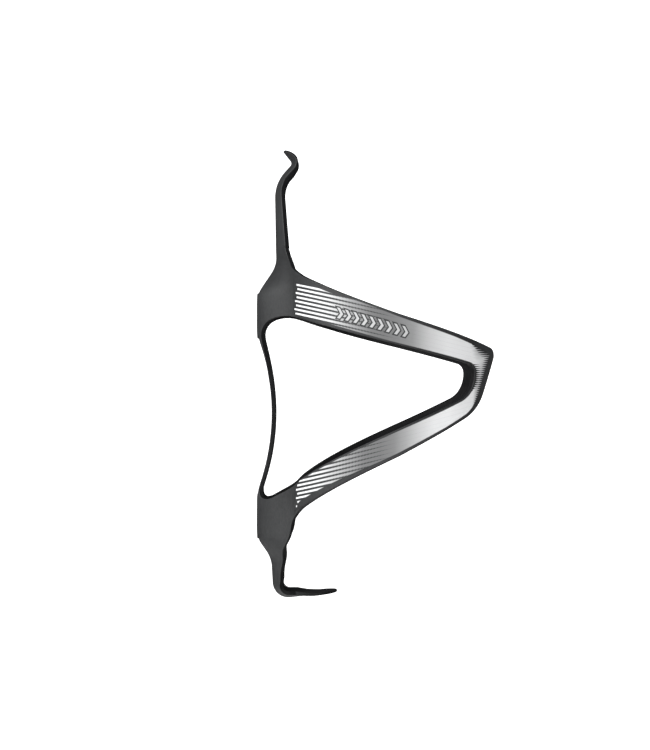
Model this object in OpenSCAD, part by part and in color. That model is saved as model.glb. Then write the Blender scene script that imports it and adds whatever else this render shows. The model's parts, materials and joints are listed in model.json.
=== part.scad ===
// Side-entry shape of a moulded water bottle cage.
// Frame: millimetres, origin midway between the two bolt slots on the plane that touches the frame tube.
// +X points from the frame tube into the bottle, +Z up along the bottle, +Y to the left.

/* [Bottle] */
// Diameter of the bottle that the wings grip
bottle_d = 73; // [70:0.5:78]
// Distance from the mounting plane to the back of the bottle
standoff = 8; // [7.5:0.25:10]
// Height of the bottle's groove above its base, where the top tab snaps in
groove_h = 137; // [132:0.5:145]

/* [Mounting] */
// Distance between the two frame bosses
bolt_spacing = 64; // [60:1:70]
// Width of each bolt slot
slot_w = 5.4; // [5.2:0.1:6.6]
// End-to-end length of each bolt slot
slot_l = 9; // [7.5:0.5:11]
// Height of the flat pad round each slot
pad_h = 14.6; // [13:0.2:16.6]
// Width of the flat pad
pad_w = 11.4; // [10:0.2:12]

/* [Laminate] */
// Thickness of the spine and of the wings at their roots
wall = 1.3; // [1:0.1:1.8]
// Extra thickness at the front of the wings
front_gain = 0.6; // [0:0.1:0.8]
// Half the width of the rail between the two pads
rail_half = 6; // [4.5:0.25:7]
// Half the width of the top tab at its snap
tab_half = 7.5; // [6:0.25:8.5]
// Half the width of the foot
foot_half = 9.3; // [7.5:0.25:10]
// How far the foot reaches in front of the mounting plane
foot_reach = 25.6; // [20:0.5:34]
// How far the snap of the top tab stands into the bottle's groove
snap_depth = 5; // [3:0.25:5.5]

/* [Wings] */
// Angle round the bottle, from the spine, where each wing starts
root_angle = 37.5; // [36:0.5:40]
// Angle round the bottle of the front corner of each wing
front_angle = 143.1; // [130:0.5:146]
// Thickness of the printed graphic film
film = 0.12; // [0.1:0.02:0.3]

/* [Flexing] */
// Slit between spine and wing, which lets the rigid wing turn on its root
wing_slit = 0.16; // [0.12:0.02:0.3]
// Slit between spine and top tab
tab_slit = 0.5; // [0.44:0.02:0.7]

/* [Hidden] */

// ---- places that follow from the driving sizes
grip_r = bottle_d / 2;
axis_x = standoff + grip_r;
shell_r = grip_r + wall;
boss_z = bolt_spacing / 2;
pad_top = boss_z + pad_h / 2;
pad_low = boss_z - pad_h / 2;
pad_proud = 0.25;
rail_bow = 0.58 * standoff;
neck_x = standoff - wall - 0.6;
foot_z = -boss_z - 26.7;
snap_z = foot_z + wall + 1.3 + groove_h;
root_y = shell_r * sin(root_angle);
tab_z = pad_top + 14.5;
foot_top_z = -pad_top - 13.2;

// ---- small vector helpers
function unit(v) = v / norm(v);
function mix(a, b, t) = a + (b - a) * t;
function clamp(t) = max(0, min(1, t));
function ease(a, b, t) = let (u = clamp((t - a) / (b - a))) u * u * (3 - 2 * u);
function mean(list) = [for (i = list) 1] * list / len(list);
function flat(list) = [for (row = list) for (p = row) p];
function turn(v, a) = [v[0] * cos(a) - v[1] * sin(a), v[0] * sin(a) + v[1] * cos(a)];

// ---- outlines: corners [a, b, radius] rounded into arcs, kept as a table of [station, a, b]
// Line i runs over stations 2i to 2i + 1 and corner i over stations 2i - 1 to 2i.
arc_steps = 6;
function corner(p, q, r, wanted) =
    let (
        u = unit(p - q),
        w = unit(r - q),
        half = acos(u * w) / 2,
        radius = min(wanted, 0.9 * min(norm(p - q), norm(r - q)) * tan(half)),
        centre = q + unit(u + w) * radius / sin(half),
        start = q + u * radius / tan(half) - centre,
        side = cross(start, q - centre) > 0 ? 1 : -1
    )
    [for (i = [0:arc_steps]) centre + turn(start, side * i / arc_steps * (180 - 2 * half))];
function at2(p) = [p[0], p[1]];
function outline(c) = concat(
    [[0, c[0][0], c[0][1]]],
    [
        for (k = [1:len(c) - 2])
            let (sharp = c[k][2] == 0, arc = sharp ? [] : corner(at2(c[k - 1]), at2(c[k]), at2(c[k + 1]), c[k][2]))
            for (i = [0:arc_steps])
                let (p = sharp ? at2(c[k]) : arc[i]) [2 * k - 1 + i / arc_steps, p[0], p[1]]
    ],
    [[2 * len(c) - 3, c[len(c) - 1][0], c[len(c) - 1][1]]]
);
function a_at(line, t) = lookup(t, [for (p = line) [p[0], p[1]]]);
function b_at(line, t) = lookup(t, [for (p = line) [p[0], p[2]]]);

// ---- a curved sheet between two grids of points
module sheet(front, back) {
    rows = len(front);
    cols = len(front[0]);
    n = rows * cols;
    function id(i, j) = i * cols + j;
    points = concat(flat(front), flat(back));
    skin = [
        for (i = [0:rows - 2]) for (j = [0:cols - 2]) each [
            [id(i, j), id(i, j + 1), id(i + 1, j + 1)],
            [id(i, j), id(i + 1, j + 1), id(i + 1, j)],
            [n + id(i, j), n + id(i + 1, j + 1), n + id(i, j + 1)],
            [n + id(i, j), n + id(i + 1, j), n + id(i + 1, j + 1)]
        ]
    ];
    rim = concat(
        [for (j = [0:cols - 2]) [id(0, j), id(0, j + 1)]],
        [for (i = [0:rows - 2]) [id(i, cols - 1), id(i + 1, cols - 1)]],
        [for (j = [cols - 2:-1:0]) [id(rows - 1, j + 1), id(rows - 1, j)]],
        [for (i = [rows - 2:-1:0]) [id(i + 1, 0), id(i, 0)]]
    );
    edge = [for (e = rim) each [[e[0], n + e[0], e[1]], [e[1], n + e[0], n + e[1]]]];
    polyhedron(points, concat(skin, edge), convexity = 8);
}

// A sheet of given thickness on the bottle side of grid g, whose unit normals are n
module laminate(g, n, thickness) {
    sheet([for (i = [0:len(g) - 1]) [for (j = [0:len(g[i]) - 1]) g[i][j] + n[i][j] * thickness[i]]], g);
}

// Columns of every strip lie at equal angles, so they crowd towards its edges
half_cols = 8;
columns = [for (j = [-half_cols:half_cols]) 90 * j / half_cols];

// ---- the back of the spine, as depth x over the plane of y and z
neck_camber = 0.034;
rail_camber = 0.004;
foot_camber = 0.03;
ramp = 8.8;
low_ramp = 6.2;
rail_mid = 1;
low_neck_x = neck_x - 1.65;
function depth_sharp(z) =
    z > pad_top + ramp ? neck_x - 0.027 * (z - pad_top - ramp)
    : z > pad_top ? mix(pad_proud, neck_x, (z - pad_top) / ramp)
    : z > rail_mid + pad_low ? pad_proud
    : z > rail_mid - pad_low ? pad_proud + (rail_bow - pad_proud) * (1 - pow((z - rail_mid) / pad_low, 2))
    : z > -pad_top ? pad_proud
    : z > -pad_top - low_ramp ? mix(pad_proud, low_neck_x, (-pad_top - z) / low_ramp)
    : low_neck_x + 0.06 * (-pad_top - low_ramp - z);
soften = 2.4;
function depth(z) = mean([for (d = [-1:0.25:1]) depth_sharp(z + d * soften)]);
function camber(z) = lookup(z, [
    [foot_top_z, foot_camber],
    [-pad_top - low_ramp, foot_camber],
    [-pad_top, 0],
    [-pad_low, 0],
    [-pad_low / 2, rail_camber],
    [pad_low / 2, rail_camber],
    [pad_low, 0],
    [pad_top, 0],
    [pad_top + ramp, neck_camber],
    [tab_z, neck_camber]
]);
dish_y = 20;
function hoop(y) = axis_x - sqrt(shell_r * shell_r - y * y);
function back_x(y, z) =
    mix(depth(z) + camber(z) * y * y, hoop(y), ease(pad_w / 2 + 0.3, dish_y, abs(y)));

// ---- outline of half the spine from the top tab down to the foot: [y, z, radius, z of the centre line]
window_top = pad_low + 6;
window_low = -pad_low + 6;
root_top = [root_y, pad_top + 4.85];
root_under = [root_y, window_top - 0.1];
low_root_over = [root_y, window_low - 0.5];
low_root_under = [root_y, -pad_low - 3.8];
spine_side = [
    [9.75, tab_z - tab_slit / 2, 0, tab_z - tab_slit / 2],
    [11.6, pad_top + 10.8, 9, pad_top + 9.8],
    [root_top[0], root_top[1], 0, pad_top + 4],
    [root_under[0], root_under[1], 0, pad_top - 0.6],
    [rail_half + 4.4, window_top + 2.3, 8, pad_top - 3],
    [rail_half, pad_low / 3, 0, pad_low / 3],
    [rail_half, -pad_low / 3, 0, -pad_low / 3],
    [rail_half + 1, -pad_low + 1.9, 0, -pad_low],
    [rail_half + 4.6, -pad_low - 2.7, 3.6, -pad_top + 2.6],
    [low_root_over[0], low_root_over[1], 0, -pad_top + 1],
    [low_root_under[0], low_root_under[1], 0, -pad_top - 0.7],
    [18.9, -pad_low - 7, 6, -pad_top - 2],
    [17.8, -pad_low - 14.4, 10, -pad_top - 4.6],
    [foot_half + 0.3, -pad_top - 9, 10, -pad_top - 9],
    [foot_half, foot_top_z, 0, foot_top_z]
];
side = outline([for (c = spine_side) [c[0], c[1], c[2]]]);
last_station = 2 * len(spine_side) - 3;
centre = concat(
    [[0, spine_side[0][3]]],
    [for (k = [1:len(spine_side) - 2]) [2 * k - 0.5, spine_side[k][3]]],
    [[last_station, spine_side[len(spine_side) - 1][3]]]
);
function stations(c, lines, arcs) = concat(
    [0],
    [
        for (k = [1:len(c) - 2]) each concat(
            [for (i = [1:lines - 1]) 2 * k - 2 + i / lines],
            c[k][2] == 0 ? [2 * k - 0.5] : [for (i = [0:arcs]) 2 * k - 1 + i / arcs]
        )
    ],
    [for (i = [1:lines]) 2 * len(c) - 4 + i / lines]
);
function mount_row(t) =
    let (yb = a_at(side, t), zb = b_at(side, t), zc = lookup(t, centre))
    [
        for (a = columns)
            let (y = yb * sin(a), z = mix(zc, zb, abs(sin(a))))
            [back_x(y, z), y, z]
    ];
mount_rows = [for (t = stations(spine_side, 4, 3)) mount_row(t)];
function back_normal(y, z) =
    let (d = 0.2)
    unit([2 * d, back_x(y - d, z) - back_x(y + d, z), back_x(y, z - d) - back_x(y, z + d)]);
mount_normals = [for (row = mount_rows) [for (p = row) back_normal(p[1], p[2])]];

// ---- strips that follow a bent centre line in the plane of x and z: the top tab and the foot
function lengths(p, i = 0, so_far = 0) =
    i == len(p) ? [] : let (s = so_far + (i > 0 ? norm(p[i] - p[i - 1]) : 0)) concat([s], lengths(p, i + 1, s));
function route(c) =
    let (line = outline(c), p = [for (q = line) [q[1], q[2]]], s = lengths(p))
    [for (i = [0:len(p) - 1]) [s[i], p[i][0], p[i][1]]];
function reach(r) = r[len(r) - 1][0];
function on(r, w) = [a_at(r, w), b_at(r, w)];
// One row across a strip: half width h, camber q, lag (how far its ends stay behind its middle, of end_bow) and
// side (1 or -1) of the route that faces the bottle. Gives the points, then the normals.
function strip_row(r, w, h, q, lag, end_bow, side) =
    let (
        cells = [
            for (a = columns)
                let (
                    y = h * sin(a),
                    v = w - lag * end_bow * mix(pow(sin(a), 2), 1 - cos(a), pow(lag, 30)),
                    t = unit(on(r, v + 0.35) - on(r, v - 0.35)),
                    inward = side * [t[1], -t[0]],
                    p = on(r, v) + q * y * y * inward
                )
                [[p[0], y, p[1]], unit([inward[0], -2 * q * y, inward[1]])]
        ]
    )
    [[for (c = cells) c[0]], [for (c = cells) c[1]]];

// Top tab, from its cut at the neck up to its tip
snap_x = standoff + snap_depth - wall - 0.15;
tab_route = route([
    [neck_x - 0.027 * (tab_z + tab_slit / 2 - pad_top - ramp), tab_z + tab_slit / 2],
    [neck_x - 0.5, snap_z - 6.4, 12],
    [snap_x - 0.3, snap_z - 0.1, 1.2],
    [snap_x - 3.3, snap_z + 3.7]
]);
tab_len = reach(tab_route);
tab_end_bow = 4.6;
tab_rows = [
    for (w = concat([for (i = [0:14]) i / 14 * (tab_len - 13)], [for (i = [1:14]) tab_len - 13 + i * 13 / 14]))
        let (left = tab_len - w)
        strip_row(
            tab_route,
            w,
            mix(9.7, tab_half, clamp(w / (tab_len - 10))),
            mix(neck_camber, 0.031, clamp(w / (tab_len - 10))),
            clamp(1 - left / (2 * tab_end_bow)),
            tab_end_bow,
            1
        )
];

// Foot, from the lower neck round the bend to the tip of the shelf
foot_bend = 5;
foot_route = route([
    [depth(foot_top_z), foot_top_z],
    [depth(foot_top_z) + 0.3, foot_z, foot_bend],
    [foot_reach, foot_z + 2.4]
]);
foot_len = reach(foot_route);
foot_end_bow = 6.5;
foot_steps = 20;
foot_rows = [
    for (i = [1:foot_steps])
        let (w = i / foot_steps * foot_len, left = foot_len - w)
        strip_row(
            foot_route,
            w,
            foot_half - 1.3 * clamp(1 - left / 12),
            foot_camber * pow(1 - w / foot_len, 1.4),
            clamp(1 - left / (2 * foot_end_bow)),
            foot_end_bow,
            -1
        )
];

module stadium(width, length, height) {
    for (s = [-1, 1]) translate([0, s * (length - width) / 2, 0]) cylinder(d = width, h = height, $fn = 48);
    translate([-width / 2, -(length - width) / 2, 0]) cube([width, length - width, height]);
}
// Lays a stadium on the back of a pad, long side up the bike's tube, growing towards the bottle
module on_pads(x) {
    for (z = [-boss_z, boss_z]) translate([x, 0, z]) rotate([90, 0, 90]) children();
}

module spine() {
    color("#2c2d2f")
        difference() {
            union() {
                laminate(
                    concat(mount_rows, [for (r = foot_rows) r[0]]),
                    concat(mount_normals, [for (r = foot_rows) r[1]]),
                    concat([for (r = mount_rows) wall], [for (i = [1:foot_steps]) wall - 0.45 * clamp(2 * i / foot_steps - 1)])
                );
                on_pads(0) stadium(pad_w, pad_h, pad_proud + wall / 2);
            }
            on_pads(-1) stadium(slot_w, slot_l, wall + pad_proud + 3);
        }
}

module top_tab() {
    down = [for (i = [len(tab_rows) - 1:-1:0]) tab_rows[i]];
    color("#2c2d2f")
        laminate([for (r = down) r[0]], [for (r = down) r[1]], [for (i = [0:len(down) - 1]) wall * mix(0.6, 1, clamp(i / 5))]);
}

// ---- wings: outer and window outlines on the unrolled hoop, as [angle round the bottle, z, radius]
mm_per_degree = shell_r * PI / 180;
function unrolled(c) = outline([for (p = c) [p[0] * mm_per_degree, p[1], p[2]]]);
slit_angle = wing_slit / 2 / mm_per_degree;
mid_angle = (root_angle + front_angle) / 2;
chin_angle = front_angle - 12.6;
window_angle = front_angle - 14.8;
chin_z = 2.3;
front_z = 20.8;
wing_outer = unrolled([
    [root_angle + slit_angle, root_top[1], 0],
    [root_angle + 11, root_top[1] - 2.4, 25],
    [mid_angle, mix(root_top[1] - 2.4, front_z, 0.44) - 0.55, 0],
    [front_angle, front_z, 2.4],
    [chin_angle, chin_z, 16],
    [mid_angle, mix(low_root_under[1], chin_z, 0.565) - 0.85, 0],
    [root_angle + slit_angle, low_root_under[1], 0]
]);
wing_window = unrolled([
    [root_angle + slit_angle, root_under[1], 0],
    [root_angle + 17.5, root_under[1] - 2.5, 40],
    [mid_angle, mix(root_under[1] - 2.5, front_z - 4.7, 0.48), 0],
    [window_angle, front_z - 4.7, 3.2],
    [window_angle, front_z - 13, 9],
    [mid_angle, mix(low_root_over[1], front_z - 13, 0.578) + 0.2, 0],
    [root_angle + slit_angle, low_root_over[1], 0]
]);
function wing_wall(s) = wall + front_gain * ease(root_angle, front_angle, s / mm_per_degree);
function on_hoop(s, z, r) = let (a = s / mm_per_degree) [axis_x - r * cos(a), r * sin(a), z];
wing_stations = concat(
    [for (i = [0:2]) i / 3],
    [for (i = [0:3]) 1 + i / 3],
    [for (i = [1:5]) 2 + i / 6],
    [3.5],
    [for (i = [1:5]) 4 + i / 6],
    [for (i = [0:6]) 5 + i / 6],
    [for (i = [1:4]) 6 + i / 5],
    [for (i = [0:6]) 7 + i / 6],
    [for (i = [1:5]) 8 + i / 6],
    [9.5],
    [for (i = [1:7]) 10 + i / 7]
);
function wing_point(t, v) =
    [mix(a_at(wing_outer, t), a_at(wing_window, t), v), mix(b_at(wing_outer, t), b_at(wing_window, t), v)];
function wing_grid(stations, across, lift) = [
    for (t = stations) [
        for (v = across)
            let (p = wing_point(t, v)) on_hoop(p[0], p[1], grip_r + (lift == undef ? 0 : wing_wall(p[0]) + lift))
    ]
];
across = [for (i = [0:5]) i / 5];

module wing() {
    color("#2c2d2f") sheet(wing_grid(wing_stations, across, 0), wing_grid(wing_stations, across));
}

// Printed film on the outside of a wing, inside a bare border
film_lift = 0.08;
film_stations = concat([0.06], [for (t = wing_stations) if (t > 0.1 && t < 10.9) t], [10.95]);
film_across = [for (i = [0:4]) mix(0.1, 0.9, i / 4)];
module graphic() {
    color("#c9cbce")
        sheet(wing_grid(film_stations, film_across, film_lift + film), wing_grid(film_stations, film_across, film_lift));
}

spine();
top_tab();
wing();  // left_wing
mirror([0, 1, 0]) wing();  // right_wing
graphic();  // left_graphic
mirror([0, 1, 0]) graphic();  // right_graphic
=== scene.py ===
# %% [markdown]
# # A moulded bottle cage
#
# This lesson shapes and finishes a one-piece bottle cage pressed from fibre cloth and resin: a
# spine with two bolt slots, a neck that ends in a snap tab, a foot under the bottle, and two
# triangular wings whose outsides carry a silver print. Everything stands in the same frame as the
# exact parts: +X from the bike's tube into the bottle, +Z up along the bottle, metres. Sizes are
# kept in millimetres, as a mould maker would, and turned into metres when a mesh is made.

import json
import math

import bpy
import numpy as np
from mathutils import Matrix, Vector


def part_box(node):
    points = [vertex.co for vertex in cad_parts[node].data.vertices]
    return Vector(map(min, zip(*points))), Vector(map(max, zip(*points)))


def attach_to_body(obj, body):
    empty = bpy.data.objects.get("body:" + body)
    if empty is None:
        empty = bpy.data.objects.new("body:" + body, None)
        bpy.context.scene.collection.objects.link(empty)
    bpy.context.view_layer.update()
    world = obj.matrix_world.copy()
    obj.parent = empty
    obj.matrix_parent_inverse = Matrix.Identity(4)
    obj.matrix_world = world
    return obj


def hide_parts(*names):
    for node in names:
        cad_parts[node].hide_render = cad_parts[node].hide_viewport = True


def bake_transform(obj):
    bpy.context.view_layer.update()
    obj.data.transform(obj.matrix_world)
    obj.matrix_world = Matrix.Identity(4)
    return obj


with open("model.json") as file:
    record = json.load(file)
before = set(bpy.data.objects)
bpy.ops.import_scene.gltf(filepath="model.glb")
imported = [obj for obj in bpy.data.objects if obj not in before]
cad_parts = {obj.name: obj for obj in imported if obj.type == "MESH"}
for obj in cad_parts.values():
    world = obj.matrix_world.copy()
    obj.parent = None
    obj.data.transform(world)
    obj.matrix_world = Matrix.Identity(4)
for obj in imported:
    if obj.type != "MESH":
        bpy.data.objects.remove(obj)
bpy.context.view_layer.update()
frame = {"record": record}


# %% [markdown]
# ## Sizes
#
# The bolt spacing comes from the mount in the record, and the bottle, spine and foot sizes from the
# boxes of the exact parts, so a changed cage carries this lesson with it. Only shape numbers that
# no box shows, such as how deep the neck is dished, are written down here.

# %% Sizes from the exact parts
record = frame["record"]
mounts = {m["name"]: m for m in record["mounts"]}
joints = {j["name"]: j for j in record["behaviour"]["joints"]}
bolt_z = mounts["bolt_slots"]["dims"]["spacing_y_mm"] / 2
slot_w = 2 * mounts["bolt_slots"]["dims"]["hole_r_mm"]
slot_l = mounts["bolt_slots"]["dims"]["slot_length_mm"]


def box_mm(node):
    lo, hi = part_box(node)
    return np.array(lo) * 1000, np.array(hi) * 1000


spine_lo, spine_hi = box_mm("spine")
wing_lo, wing_hi = box_mm("left_wing")
print("spine", spine_lo.round(2), spine_hi.round(2), "left wing", wing_lo.round(2), wing_hi.round(2))
print("bolts", bolt_z, "mm up and down, slots", slot_w, "x", slot_l, "mm")

# %% [markdown]
# ## The driving sizes
#
# The wings are parts of one hoop that grips a bottle. Its axis and radius, and the angle where the
# wings begin, are worked back from the wing hinge, which lies in the middle of the laminate, half a
# wall outside the grip.

# %% Driving sizes in millimetres
# the wall, how much thicker it is at the wings' front, and the round on every sanded edge
WALL, FRONT_GAIN, EDGE = 1.3, 0.6, 0.22
hinge = np.array(joints["left_wing_flex"]["pos_m"]) * 1000
axis_x = mounts["bottle_bay"]["pos_m"][0] * 1000
grip_r = math.hypot(axis_x - hinge[0], hinge[1]) - WALL / 2
shell_r = grip_r + WALL
standoff = axis_x - grip_r
root_angle = math.degrees(math.atan2(hinge[1], axis_x - hinge[0]))
root_y = shell_r * math.sin(math.radians(root_angle))
# the round of the front corner takes this many degrees off the box
FRONT_TRIM = 1.39
front_cos = (axis_x - wing_hi[0]) / (shell_r + FRONT_GAIN)
front_angle = math.degrees(math.acos(front_cos)) + FRONT_TRIM
# the pads' width and height, and how far they stand proud of the spine
PAD_W, PAD_H, PAD_PROUD = 11.4, 14.6, 0.25
pad_top, pad_low = bolt_z + PAD_H / 2, bolt_z - PAD_H / 2
print("hoop radius", round(shell_r, 2), "mm, wing root at", round(root_angle, 2), "degrees")
print("front of the wing at", round(front_angle, 2), "degrees")

# %% [markdown]
# ## Small tools for curves
#
# An outline is a list of corners, each with the radius it is rounded to, as a mould maker would
# dimension it. Bezier curves would round them too, but not to a radius in millimetres.

# %% Curve tools
def unit(v):
    v = np.asarray(v, float)
    return v / np.maximum(np.linalg.norm(v, axis=-1, keepdims=True), 1e-12)


def ease(a, b, t):
    u = np.clip((np.asarray(t, float) - a) / (b - a), 0, 1)
    return u * u * (3 - 2 * u)


def mix(a, b, t):
    return a + (b - a) * t


def round_corner(p, q, r, wanted, steps):
    """The points of an arc that rounds the corner q between p and r."""
    u, w = unit(p - q), unit(r - q)
    half = math.acos(float(np.clip(u @ w, -1, 1))) / 2
    radius = min(wanted, 0.9 * min(np.linalg.norm(p - q), np.linalg.norm(r - q)) * math.tan(half))
    centre = q + unit(u + w) * radius / math.sin(half)
    start = q + u * radius / math.tan(half) - centre
    to_q = q - centre
    side = 1 if start[0] * to_q[1] - start[1] * to_q[0] > 0 else -1
    turn = [side * i / steps * (math.pi - 2 * half) for i in range(steps + 1)]
    x, y = start
    return [
        centre + np.array([x * math.cos(t) - y * math.sin(t), x * math.sin(t) + y * math.cos(t)])
        for t in turn
    ]


def outline(corners, steps=14):
    """Rows of (station, a, b). Line i runs over stations 2i to 2i + 1, and corner i over 2i - 1
    to 2i, so a station stays on the same stretch of the outline when the sizes change."""
    pts = [np.array(c[:2], float) for c in corners]
    rows = [(0.0, *pts[0])]
    for k in range(1, len(pts) - 1):
        if corners[k][2] == 0:
            rows += [(2 * k - 1.0, *pts[k]), (2.0 * k, *pts[k])]
        else:
            arc = round_corner(pts[k - 1], pts[k], pts[k + 1], corners[k][2], steps)
            rows += [(2 * k - 1 + i / steps, *p) for i, p in enumerate(arc)]
    rows.append((2.0 * len(pts) - 3, *pts[-1]))
    return np.array(rows)


def at(line, t):
    return np.interp(t, line[:, 0], line[:, 1]), np.interp(t, line[:, 0], line[:, 2])


print("a rounded corner takes", len(outline([(0, 0), (5, 0, 2), (5, 5)])) - 2, "points")

# %% [markdown]
# ## Drawing an outline in
#
# The edge round needs each outline twice: at its full size and drawn in by the round. Scaling would
# draw it in unevenly, so every line is moved sideways by the same amount and the corners are worked
# out again where the moved lines meet. Lines where two pieces of the moulding meet stay where they
# are.

# %% Outlines drawn in, and where the rows go
def drawn_in(corners, by, cuts=(), ends="b"):
    """The outline moved to its right by that much, except for the lines in cuts. ends says which
    coordinate the two end points keep."""
    pts = [np.array(c[:2], float) for c in corners]
    n = len(pts)
    lines = []
    for i in range(n - 1):
        d = unit(pts[i + 1] - pts[i])
        shift = 0 if i in cuts else by
        lines.append((pts[i] + shift * np.array([d[1], -d[0]]), d))
    out = []
    for i in range(n):
        if i in (0, n - 1):
            p, d = lines[0 if i == 0 else -1]
            k = 1 if ends == "b" else 0
            out.append((*(p + d * (pts[i][k] - p[k]) / d[k]), *corners[i][2:]))
            continue
        (p, d), (q, e) = lines[i - 1], lines[i]
        turn = d[0] * e[1] - d[1] * e[0]
        reach = (q[0] - p[0]) * e[1] - (q[1] - p[1]) * e[0]
        place = q if abs(turn) < 1e-3 else p + d * reach / turn
        radius = corners[i][2]
        if radius:
            radius = max(radius + (by if turn > 0 else -by), 0.1)
        out.append((*place, radius, *corners[i][3:]))
    return out


def stations(corners, lines, arcs):
    """Evenly spread stations, so many to a line and to a corner; a sharp corner takes one."""
    ts = [0.0]
    for k in range(1, len(corners) - 1):
        ts += [2 * k - 2 + i / lines for i in range(1, lines)]
        if corners[k][2] == 0:
            ts.append(2 * k - 0.5)
        else:
            ts += [2 * k - 1 + i / arcs for i in range(arcs + 1)]
    return np.array(ts + [2 * len(corners) - 4 + i / lines for i in range(1, lines + 1)])


print("a line at 0 drawn in by 1 mm lies at", float(drawn_in([(0, 0), (0, 5)], 1)[0][0]))

# %% [markdown]
# ## From points to a mesh
#
# Every mesh is made from lists of points and faces, and always needs smooth shading, the right
# finish on each face, and a note at every point of where it lies at rest. The finishes read that
# note for their grain, so the grain stays on the laminate when a wing flexes. Faces have to look
# outwards, and the sign of the enclosed volume tells whether they do.

# %% Mesh helpers
def border(rows, cols):
    """The grid places round the edge of a sheet, once round."""
    top = [(0, j) for j in range(cols)]
    right = [(i, cols - 1) for i in range(1, rows)]
    low = [(rows - 1, j) for j in range(cols - 2, -1, -1)]
    left = [(i, 0) for i in range(rows - 2, 0, -1)]
    return top + right + low + left


def into_scene(obj):
    bpy.context.scene.collection.objects.link(obj)
    return obj


def attach(mesh, name, values):
    data = mesh.attributes.new(name, "FLOAT_VECTOR", "POINT")
    data.data.foreach_set("vector", np.asarray(values, np.float32).ravel())


def make_mesh(name, points_mm, faces, finishes, normals=None, kinds=None):
    mesh = bpy.data.meshes.new(name)
    mesh.from_pydata([tuple(p) for p in np.asarray(points_mm) / 1000], [], faces)
    for finish in finishes:
        mesh.materials.append(finish)
    if kinds is not None:
        mesh.polygons.foreach_set("material_index", np.array(kinds, np.int32))
    mesh.polygons.foreach_set("use_smooth", [True] * len(mesh.polygons))
    attach(mesh, "rest_mm", points_mm)
    mesh.update()
    if normals is not None:
        mesh.normals_split_custom_set_from_vertices([tuple(n) for n in normals])
    return into_scene(bpy.data.objects.new(name, mesh))


def facing_out(points, faces):
    a, b, c, d = (np.asarray(points)[np.array(faces)[:, k]] for k in range(4))
    volume = np.sum(a * (np.cross(b, c) + np.cross(c, d)))
    return faces if volume > 0 else [tuple(reversed(f)) for f in faces]


print("a grid of 4 by 5 points has", len(border(4, 5)), "points round its border")

# %% [markdown]
# ## A sheet with thickness and a sanded edge
#
# Every piece of the cage is a curved sheet of laminate. The Solidify and Bevel modifiers could
# thicken and round a plain sheet, but they can't leave out the round where two pieces of the
# moulding meet, nor change the wall along the piece. So the sheet is made directly, from points on
# the outer face, a direction towards the bottle at each, and a wall thickness. Round the border
# runs a small quarter circle on each face, a real bevel that catches a thin line of light.

# %% The sheet maker
def sheet(name, P, F, N, W, finishes, steps=3, skip=None, extra=None):
    """P: rows of points drawn in from the border. F: the same rows out to it. N: directions towards
    the bottle. W: thickness. Finish 0 goes on the outer face, 1 on the inner face and the rim. skip
    tells which points to leave open, extra holds more numbers for every point."""
    rows, cols = P.shape[:2]
    loop = border(rows, cols)

    def at_loop(grid):
        return np.array([grid[i, j] for i, j in loop])

    Pl, Nl, Wl = at_loop(P), at_loop(N), at_loop(W)[:, None]
    E = at_loop(F) - Pl
    E = E - Nl * np.sum(E * Nl, 1, keepdims=True)
    R = np.linalg.norm(E, axis=1, keepdims=True)
    free = R > 1e-3
    U = np.where(free, E / np.maximum(R, 1e-3), 0)
    turns = [k / steps * math.pi / 2 for k in range(1, steps + 1)]
    rings = [Pl + E * math.sin(t) + Nl * R * (1 - math.cos(t)) for t in turns]
    rings += [Pl + E * math.sin(t) + Nl * (Wl - R * (1 - math.cos(t))) for t in reversed(turns)]
    ring_n = [np.where(free, unit(U * math.sin(t) - Nl * math.cos(t)), -Nl) for t in turns]
    ring_n += [np.where(free, unit(U * math.sin(t) + Nl * math.cos(t)), Nl) for t in reversed(turns)]
    n, m = rows * cols, len(loop)
    points = np.concatenate([P.reshape(-1, 3), (P + N * W[..., None]).reshape(-1, 3)] + rings)
    normals = np.concatenate([-N.reshape(-1, 3), N.reshape(-1, 3)] + ring_n)
    faces, kinds = [], []
    for i in range(rows - 1):
        for j in range(cols - 1):
            a = i * cols + j
            b, c, d = a + 1, a + cols + 1, a + cols
            if skip is not None and any(skip(P[k // cols, k % cols]) for k in (a, b, c, d)):
                continue
            faces += [(a, d, c, b), (n + a, n + b, n + c, n + d)]
            kinds += [0, 1]
    chain = [[i * cols + j for i, j in loop]]
    chain += [[2 * n + k * m + q for q in range(m)] for k in range(len(rings))]
    chain += [[n + i * cols + j for i, j in loop]]
    for k in range(len(chain) - 1):
        for q in range(m):
            r = (q + 1) % m
            faces.append((chain[k][q], chain[k][r], chain[k + 1][r], chain[k + 1][q]))
            kinds.append(0 if k < steps - 1 else 1)
    faces = facing_out(points, faces)
    obj = make_mesh(name, points, faces, finishes, normals, kinds)
    for key, grid in (extra or {}).items():
        flat = grid.reshape(-1, 3)
        attach(obj.data, key, np.concatenate([flat, flat] + [at_loop(grid)] * len(rings)))
    print(name, len(points), "points")
    return obj


print("round along every free edge:", EDGE, "mm")

# %% [markdown]
# ## The spine's shape
#
# Seen from the side, the spine stands proud at the two pads that touch the tube and falls back
# towards the bottle between, above and below them. Seen from above, it is a flat pad that sweeps
# out on both sides into the hoop. It could be shaped by hand in Sculpt Mode, but then it would not
# follow a change of size. So its back is one height field, and a height field has a direction at
# every point, which the sheet maker needs.

# %% Depth along the middle line
# how strongly the neck, the rail and the foot are curved across, as depth per width squared
NECK_CAMBER, RAIL_CAMBER, FOOT_CAMBER = 0.034, 0.004, 0.03
# the slopes above and below the pads, and the height where the rail lies deepest
RAMP, LOW_RAMP, RAIL_MID = 8.8, 6.2, 1.0
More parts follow.
